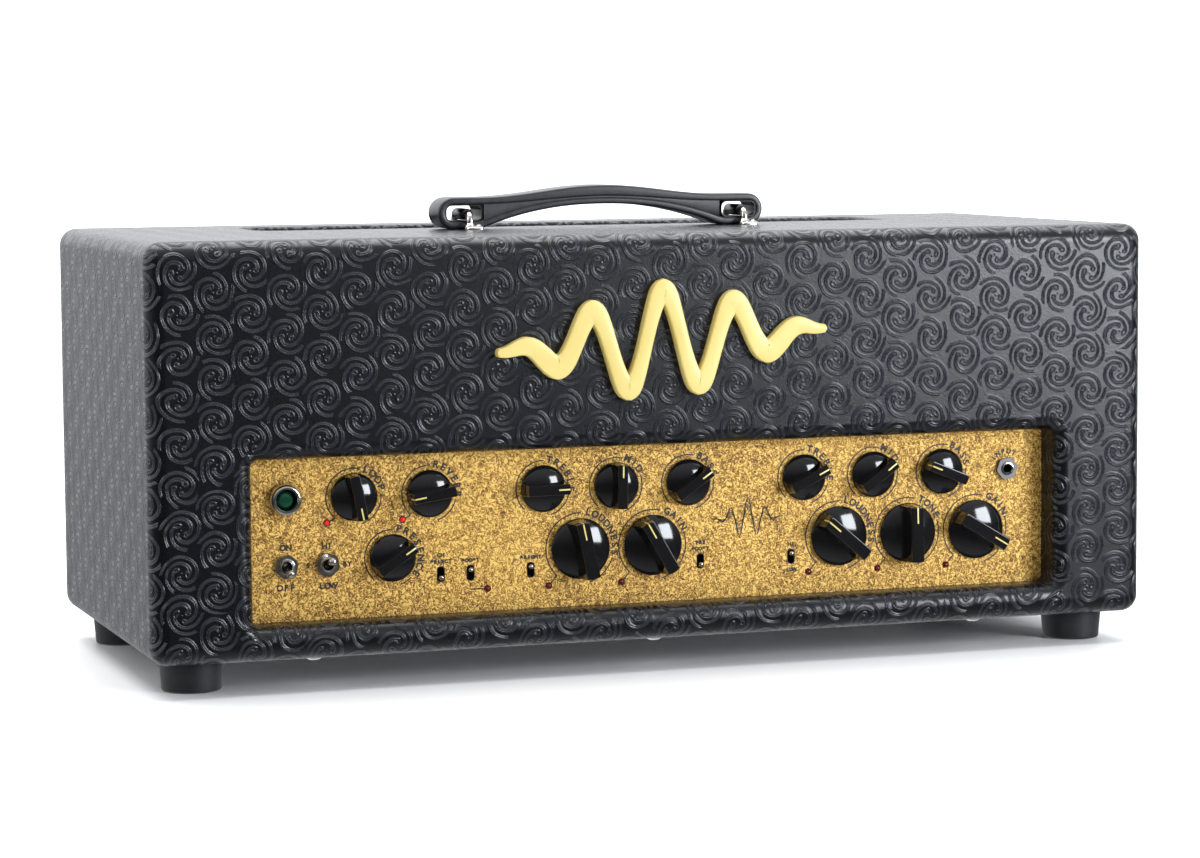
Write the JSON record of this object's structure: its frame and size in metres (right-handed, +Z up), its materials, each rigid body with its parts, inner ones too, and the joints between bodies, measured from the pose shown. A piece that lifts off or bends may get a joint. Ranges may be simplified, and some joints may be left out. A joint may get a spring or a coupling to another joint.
{
  "type": "guitar amp head",
  "caption": "Covered guitar amplifier head with a recessed gold control panel, skirted bar knobs, toggle switches, pilot jewel, strap handle, vented top and back, and rubber feet.",
  "frame": {"origin": "on the floor, below the centre of the whole object's box", "axes": "+Z up, the control panel faces -Y, +X to the right seen from the front"},
  "size_m": [0.711, 0.319, 0.3262],
  "materials": {
    "embossed_vinyl": "black-blue vinyl covering, embossed with small curls, satin sheen",
    "plywood": "raw birch plywood",
    "gold_panel": "gold hammered paint",
    "zinc_steel": "zinc plated sheet",
    "nickel": "nickel plate",
    "black_metal": "satin black paint",
    "knob_plastic": "gloss black moulded plastic",
    "rubber": "matt black",
    "strap": "black satin strap",
    "cream_plastic": "cream moulded plastic",
    "green_jewel": "faceted green lens",
    "circuit_board": "glass-fibre board with parts",
    "valve_glass": "clear glass over a dark base"
  },
  "bodies": {
    "root": {"back_grille": "black_metal", "back_panel": "embossed_vinyl", "badge": "cream_plastic", "cabinet_carcass": "plywood", "cabinet_cover": "embossed_vinyl", "chassis": "zinc_steel", "chassis_bolt_back_left": "nickel", "chassis_bolt_back_right": "nickel", "chassis_bolt_front_left": "nickel", "chassis_bolt_front_middle": "nickel", "chassis_bolt_front_right": "nickel", "control_board": "circuit_board", "control_panel": "gold_panel", "foot_back_left": "rubber", "foot_back_right": "rubber", "foot_front_left": "rubber", "foot_front_right": "rubber", "front_board": "plywood", "handle_bracket_left": "nickel", "handle_bracket_right": "nickel", "input_jack": "nickel", "mains_inlet": "knob_plastic", "output_jack_board": "circuit_board", "output_transformer": "black_metal", "pilot_bezel": "nickel", "pilot_jewel": "green_jewel", "power_switch": "nickel", "power_transformer": "black_metal", "power_valve_1": "valve_glass", "power_valve_2": "valve_glass", "power_valve_3": "valve_glass", "power_valve_4": "valve_glass", "preamp_valve_1": "valve_glass", "preamp_valve_2": "valve_glass", "preamp_valve_3": "valve_glass", "reverb_tank": "black_metal", "standby_switch": "nickel", "top_grille": "black_metal"},
    "knob_loop_level": {"knob_loop_level": "knob_plastic"},
    "knob_reverb": {"knob_reverb": "knob_plastic"},
    "knob_presence": {"knob_presence": "knob_plastic"},
    "knob_treble_one": {"knob_treble_one": "knob_plastic"},
    "knob_mid_one": {"knob_mid_one": "knob_plastic"},
    "knob_bass_one": {"knob_bass_one": "knob_plastic"},
    "knob_loudness_one": {"knob_loudness_one": "knob_plastic"},
    "knob_gain_one": {"knob_gain_one": "knob_plastic"},
    "knob_treble_two": {"knob_treble_two": "knob_plastic"},
    "knob_mid_two": {"knob_mid_two": "knob_plastic"},
    "knob_bass_two": {"knob_bass_two": "knob_plastic"},
    "knob_loudness_two": {"knob_loudness_two": "knob_plastic"},
    "knob_equaliser_two": {"knob_equaliser_two": "knob_plastic"},
    "knob_gain_two": {"knob_gain_two": "knob_plastic"},
    "lever_channel": {"lever_channel": "nickel"},
    "lever_boost": {"lever_boost": "nickel"},
    "lever_bright_one": {"lever_bright_one": "nickel"},
    "lever_boost_two": {"lever_boost_two": "nickel"},
    "lever_loudness_two": {"lever_loudness_two": "nickel"},
    "power_lever": {"power_lever": "nickel"},
    "standby_lever": {"standby_lever": "nickel"},
    "handle": {"handle_strap": "strap"}
  },
  "joints": [
    {"name": "loop_level_turn", "type": "hinge", "parent": "root", "child": "knob_loop_level", "pos_m": [-0.2145, -0.1285, 0.1253], "axis": [0, 1, 0], "range_deg": [-300, 0]},
    {"name": "reverb_turn", "type": "hinge", "parent": "root", "child": "knob_reverb", "pos_m": [-0.1625, -0.1285, 0.1253], "axis": [0, 1, 0], "range_deg": [-51, 249]},
    {"name": "presence_turn", "type": "hinge", "parent": "root", "child": "knob_presence", "pos_m": [-0.1885, -0.1285, 0.0835], "axis": [0, 1, 0], "range_deg": [-207, 93]},
    {"name": "treble_one_turn", "type": "hinge", "parent": "root", "child": "knob_treble_one", "pos_m": [-0.083, -0.1285, 0.1253], "axis": [0, 1, 0], "range_deg": [-239, 61]},
    {"name": "mid_one_turn", "type": "hinge", "parent": "root", "child": "knob_mid_one", "pos_m": [-0.031, -0.1285, 0.1253], "axis": [0, 1, 0], "range_deg": [-151, 149]},
    {"name": "bass_one_turn", "type": "hinge", "parent": "root", "child": "knob_bass_one", "pos_m": [0.021, -0.1285, 0.1253], "axis": [0, 1, 0], "range_deg": [-206, 94]},
    {"name": "loudness_one_turn", "type": "hinge", "parent": "root", "child": "knob_loudness_one", "pos_m": [-0.057, -0.1285, 0.0835], "axis": [0, 1, 0], "range_deg": [-138, 162]},
    {"name": "gain_one_turn", "type": "hinge", "parent": "root", "child": "knob_gain_one", "pos_m": [-0.005, -0.1285, 0.0835], "axis": [0, 1, 0], "range_deg": [-120, 180]},
    {"name": "treble_two_turn", "type": "hinge", "parent": "root", "child": "knob_treble_two", "pos_m": [0.106, -0.1285, 0.1253], "axis": [0, 1, 0], "range_deg": [-214, 86]},
    {"name": "mid_two_turn", "type": "hinge", "parent": "root", "child": "knob_mid_two", "pos_m": [0.158, -0.1285, 0.1253], "axis": [0, 1, 0], "range_deg": [-204, 96]},
    {"name": "bass_two_turn", "type": "hinge", "parent": "root", "child": "knob_bass_two", "pos_m": [0.21, -0.1285, 0.1253], "axis": [0, 1, 0], "range_deg": [-82, 218]},
    {"name": "loudness_two_turn", "type": "hinge", "parent": "root", "child": "knob_loudness_two", "pos_m": [0.132, -0.1285, 0.0835], "axis": [0, 1, 0], "range_deg": [-100, 200]},
    {"name": "equaliser_two_turn", "type": "hinge", "parent": "root", "child": "knob_equaliser_two", "pos_m": [0.184, -0.1285, 0.0835], "axis": [0, 1, 0], "range_deg": [-149, 151]},
    {"name": "gain_two_turn", "type": "hinge", "parent": "root", "child": "knob_gain_two", "pos_m": [0.236, -0.1285, 0.0835], "axis": [0, 1, 0], "range_deg": [-271, 29]},
    {"name": "channel_flip", "type": "hinge", "parent": "root", "child": "lever_channel", "pos_m": [-0.155, -0.1215, 0.0707], "axis": [-1, 0, 0], "range_deg": [0, 30]},
    {"name": "boost_flip", "type": "hinge", "parent": "root", "child": "lever_boost", "pos_m": [-0.1343, -0.1215, 0.0707], "axis": [-1, 0, 0], "range_deg": [-30, 0]},
    {"name": "bright_one_flip", "type": "hinge", "parent": "root", "child": "lever_bright_one", "pos_m": [-0.092, -0.1215, 0.0707], "axis": [-1, 0, 0], "range_deg": [-30, 0]},
    {"name": "boost_two_flip", "type": "hinge", "parent": "root", "child": "lever_boost_two", "pos_m": [0.03, -0.1215, 0.0707], "axis": [-1, 0, 0], "range_deg": [0, 30]},
    {"name": "loudness_two_flip", "type": "hinge", "parent": "root", "child": "lever_loudness_two", "pos_m": [0.0968, -0.1215, 0.0707], "axis": [-1, 0, 0], "range_deg": [-30, 0]},
    {"name": "power_flip", "type": "hinge", "parent": "root", "child": "power_lever", "pos_m": [-0.261, -0.128, 0.081], "axis": [-1, 0, 0], "range_deg": [0, 28]},
    {"name": "standby_flip", "type": "hinge", "parent": "root", "child": "standby_lever", "pos_m": [-0.233, -0.128, 0.081], "axis": [-1, 0, 0], "range_deg": [-28, 0]},
    {"name": "handle_slide", "type": "slide", "parent": "root", "child": "handle", "axis": [1, 0, 0], "range_m": [-0.006, 0.011]}
  ]
}
